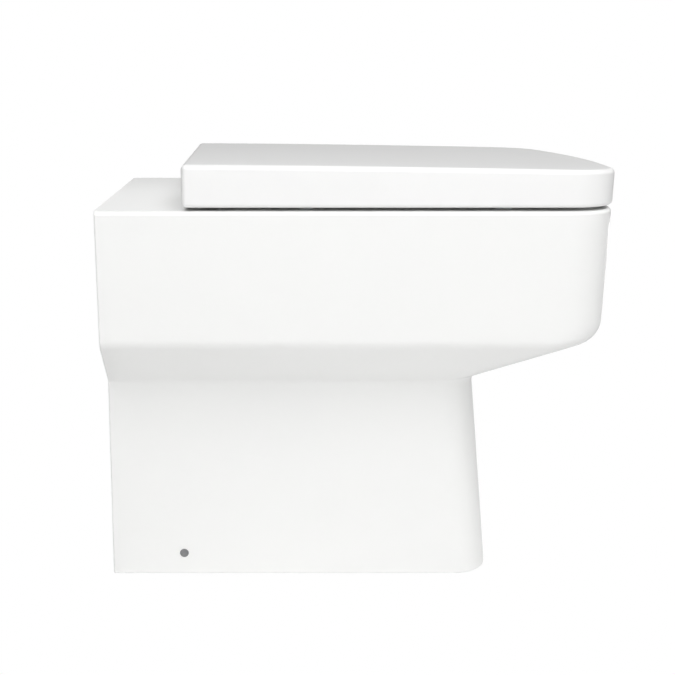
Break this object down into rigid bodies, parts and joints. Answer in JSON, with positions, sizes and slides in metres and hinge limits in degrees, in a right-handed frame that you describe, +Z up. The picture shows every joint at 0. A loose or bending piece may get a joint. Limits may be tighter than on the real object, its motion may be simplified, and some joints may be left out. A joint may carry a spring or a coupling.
{
  "type": "back to wall toilet",
  "caption": "Back to wall toilet: a glazed pan with a P trap, and a wrap-over lid and a seat ring on soft-close hinges.",
  "frame": {"origin": "on the floor, in the middle of the overall width and length", "axes": "+Z up, +Y towards the wall behind, so the front faces -Y; +X across the width"},
  "size_m": [0.361, 0.5146, 0.4434],
  "materials": {
    "china": "white glazed vitreous china",
    "seat_plastic": "glossy white thermoset",
    "buffer_rubber": "soft translucent white rubber",
    "chrome": "polished",
    "steel": "plain steel",
    "damper_plastic": "dark grey moulded",
    "bush_plastic": "white moulded",
    "black_rubber": "black rubber",
    "nut_plastic": "white nylon",
    "bracket_plastic": "off-white moulded",
    "cap_grey": "grey moulded"
  },
  "bodies": {
    "pan": {"pan": "china", "bowl": "china", "trap": "china", "flush_inlet": "china", "hinge_pillar_left": "chrome", "hinge_pillar_right": "chrome", "lid_damper_shaft": "steel", "seat_damper_shaft": "steel", "lid_pin": "steel", "seat_pin": "steel", "fixing_studs": "steel", "cone_washers": "black_rubber", "steel_washers": "steel", "wing_nuts": "nut_plastic", "floor_brackets": "bracket_plastic", "side_screws": "steel", "side_caps": "cap_grey", "inlet_seal": "black_rubber"},
    "seat": {"seat_ring": "seat_plastic", "seat_buffers": "buffer_rubber", "seat_damper": "damper_plastic", "seat_bush": "bush_plastic"},
    "lid": {"lid": "seat_plastic", "lid_buffers": "buffer_rubber", "lid_damper": "damper_plastic", "lid_bush": "bush_plastic"}
  },
  "joints": [
    {"name": "seat_hinge", "type": "hinge", "parent": "pan", "child": "seat", "pos_m": [0, 0.16075, 0.429], "axis": [-1, 0, 0], "range_deg": [0, 95]},
    {"name": "lid_hinge", "type": "hinge", "parent": "seat", "child": "lid", "pos_m": [0, 0.16075, 0.429], "axis": [-1, 0, 0], "range_deg": [0, 92]}
  ]
}
